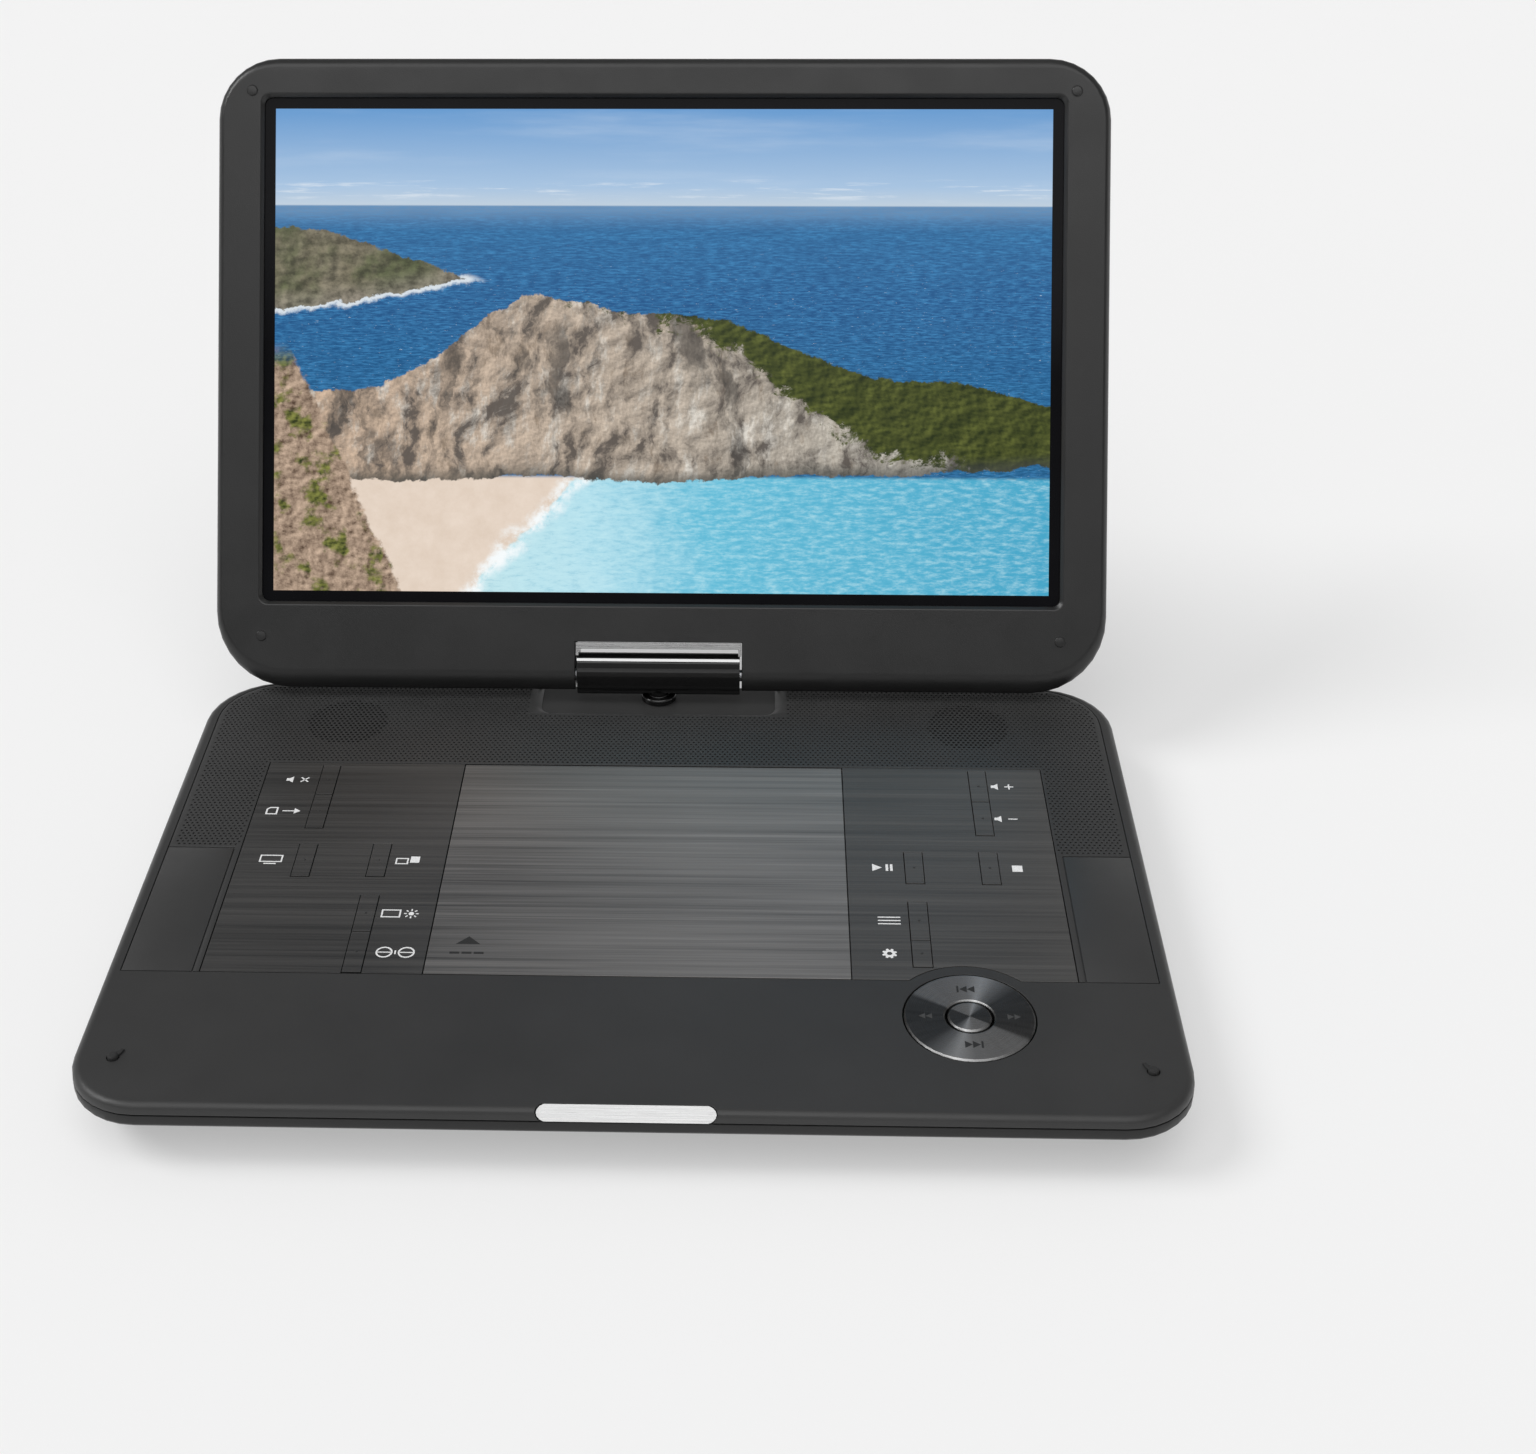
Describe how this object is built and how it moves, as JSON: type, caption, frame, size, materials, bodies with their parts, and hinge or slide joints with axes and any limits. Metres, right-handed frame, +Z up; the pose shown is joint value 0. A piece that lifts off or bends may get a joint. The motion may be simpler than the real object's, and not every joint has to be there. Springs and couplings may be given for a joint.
{
  "type": "portable dvd player",
  "caption": "Clamshell portable disc player: a flat base with a disc lid, keys and a direction ring, and a large screen that tilts and swivels on a centre hinge.",
  "frame": {"origin": "on the surface the feet stand on, under the middle of the open player's box", "axes": "+X the viewer's right, +Y away from the viewer, +Z up"},
  "size_m": [0.38, 0.3944, 0.2628],
  "materials": {
    "casing": "satin dark grey, fine grain",
    "panel": "satin dark grey with a fine dot texture",
    "brushed_lid": "brushed across",
    "key": "satin black",
    "gloss_black": "polished",
    "bright_trim": "satin silver",
    "rubber": "matte",
    "screen_glass": "flat display glass, lit picture",
    "steel": "plain",
    "port_shell": "plain",
    "tray_metal": "plain",
    "board": "solder mask",
    "battery": "shrink wrap",
    "acrylic": "clear",
    "drive_plastic": "moulded",
    "speaker": "paper cone, metal basket",
    "connector": "moulded"
  },
  "bodies": {
    "base": {"bottom_case": "casing", "top_cover": "casing", "deck_panel": "panel", "button_panel_left": "panel", "button_panel_right": "panel", "front_trim": "bright_trim", "foot_front_left": "rubber", "foot_front_right": "rubber", "foot_back_left": "rubber", "foot_back_right": "rubber", "bumper_left": "rubber", "bumper_right": "rubber", "hinge_mount": "steel", "drive_chassis": "steel", "sled_rail": "steel", "spindle_motor": "steel", "usb_port": "port_shell", "card_slot": "port_shell", "main_board": "board", "key_board_left": "board", "key_board_right": "board", "battery_pack": "battery", "deck_tray": "drive_plastic", "speaker_left": "speaker", "speaker_right": "speaker", "dc_jack": "connector", "av_jack": "connector", "earphone_jack": "connector"},
    "swivel": {"swivel_post": "drive_plastic", "hinge_barrel": "gloss_black", "barrel_trim": "bright_trim"},
    "screen": {"screen_bezel": "casing", "screen_back": "casing", "notch_trim": "bright_trim", "lcd_glass": "screen_glass", "lcd_tray": "tray_metal", "light_guide": "acrylic", "display_board": "board", "hinge_bracket_left": "steel", "hinge_bracket_right": "steel"},
    "key_mute": {"key_mute": "key"},
    "key_source": {"key_source": "key"},
    "key_screen": {"key_screen": "key"},
    "key_mode": {"key_mode": "key"},
    "key_display": {"key_display": "key"},
    "key_language": {"key_language": "key"},
    "key_volume_up": {"key_volume_up": "key"},
    "key_volume_down": {"key_volume_down": "key"},
    "key_stop": {"key_stop": "key"},
    "key_play": {"key_play": "key"},
    "key_menu": {"key_menu": "key"},
    "key_setup": {"key_setup": "key"},
    "dpad_pivot": {"dpad_pivot": "drive_plastic"},
    "dpad_ring": {"dpad_ring": "key"},
    "dpad_button": {"dpad_button": "key"},
    "disc_lid": {"disc_lid": "brushed_lid"},
    "turntable": {"turntable": "drive_plastic"},
    "laser_sled": {"laser_sled": "drive_plastic"},
    "lead_screw": {"lead_screw": "steel"},
    "power_switch": {"power_switch": "key"}
  },
  "joints": [
    {"name": "screen_swivel", "type": "hinge", "parent": "base", "child": "swivel", "pos_m": [0, 0.0623, 0.03], "axis": [0, 0, 1], "range_deg": [-90, 180]},
    {"name": "screen_tilt", "type": "hinge", "parent": "swivel", "child": "screen", "pos_m": [0, 0.0638, 0.0355], "axis": [1, 0, 0], "range_deg": [-60, 120]},
    {"name": "disc_lid_hinge", "type": "hinge", "parent": "base", "child": "disc_lid", "pos_m": [0, 0.006, 0.026], "axis": [-1, 0, 0], "range_deg": [0, 70]},
    {"name": "turntable_spin", "type": "hinge", "parent": "base", "child": "turntable", "pos_m": [0, -0.0602, 0.02], "axis": [0, 0, 1], "continuous": true},
    {"name": "sled_slide", "type": "slide", "parent": "base", "child": "laser_sled", "axis": [0, -1, 0], "range_m": [0, 0.034]},
    {"name": "lead_screw_turn", "type": "hinge", "parent": "base", "child": "lead_screw", "pos_m": [0.0165, -0.1022, 0.0149], "axis": [0, 1, 0], "range_deg": [-30, 4110]},
    {"name": "power_switch_slide", "type": "slide", "parent": "base", "child": "power_switch", "axis": [0, -1, 0], "range_m": [0, 0.004]},
    {"name": "dpad_rock_front_back", "type": "hinge", "parent": "base", "child": "dpad_pivot", "pos_m": [0.1165, -0.1466, 0.022], "axis": [1, 0, 0], "range_deg": [-2.5, 2.5], "stiffness_Nm_per_rad": 0.6},
    {"name": "dpad_rock_left_right", "type": "hinge", "parent": "dpad_pivot", "child": "dpad_ring", "pos_m": [0.1165, -0.1466, 0.024], "axis": [0, 1, 0], "range_deg": [-2.5, 2.5], "stiffness_Nm_per_rad": 0.6},
    {"name": "dpad_button_press", "type": "slide", "parent": "base", "child": "dpad_button", "axis": [0, 0, -1], "range_m": [0, 0.0006], "stiffness_N_per_m": 500},
    {"name": "key_mute_press", "type": "slide", "parent": "base", "child": "key_mute", "axis": [0, 0, -1], "range_m": [0, 0.0006], "stiffness_N_per_m": 500},
    {"name": "key_source_press", "type": "slide", "parent": "base", "child": "key_source", "axis": [0, 0, -1], "range_m": [0, 0.0006], "stiffness_N_per_m": 500},
    {"name": "key_screen_press", "type": "slide", "parent": "base", "child": "key_screen", "axis": [0, 0, -1], "range_m": [0, 0.0006], "stiffness_N_per_m": 500},
    {"name": "key_mode_press", "type": "slide", "parent": "base", "child": "key_mode", "axis": [0, 0, -1], "range_m": [0, 0.0006], "stiffness_N_per_m": 500},
    {"name": "key_display_press", "type": "slide", "parent": "base", "child": "key_display", "axis": [0, 0, -1], "range_m": [0, 0.0006], "stiffness_N_per_m": 500},
    {"name": "key_language_press", "type": "slide", "parent": "base", "child": "key_language", "axis": [0, 0, -1], "range_m": [0, 0.0006], "stiffness_N_per_m": 500},
    {"name": "key_volume_up_press", "type": "slide", "parent": "base", "child": "key_volume_up", "axis": [0, 0, -1], "range_m": [0, 0.0006], "stiffness_N_per_m": 500},
    {"name": "key_volume_down_press", "type": "slide", "parent": "base", "child": "key_volume_down", "axis": [0, 0, -1], "range_m": [0, 0.0006], "stiffness_N_per_m": 500},
    {"name": "key_stop_press", "type": "slide", "parent": "base", "child": "key_stop", "axis": [0, 0, -1], "range_m": [0, 0.0006], "stiffness_N_per_m": 500},
    {"name": "key_play_press", "type": "slide", "parent": "base", "child": "key_play", "axis": [0, 0, -1], "range_m": [0, 0.0006], "stiffness_N_per_m": 500},
    {"name": "key_menu_press", "type": "slide", "parent": "base", "child": "key_menu", "axis": [0, 0, -1], "range_m": [0, 0.0006], "stiffness_N_per_m": 500},
    {"name": "key_setup_press", "type": "slide", "parent": "base", "child": "key_setup", "axis": [0, 0, -1], "range_m": [0, 0.0006], "stiffness_N_per_m": 500}
  ],
  "couplings": [
    {"joint": "lead_screw_turn", "follows": "sled_slide", "rad_per_m": 2094.4}
  ]
}
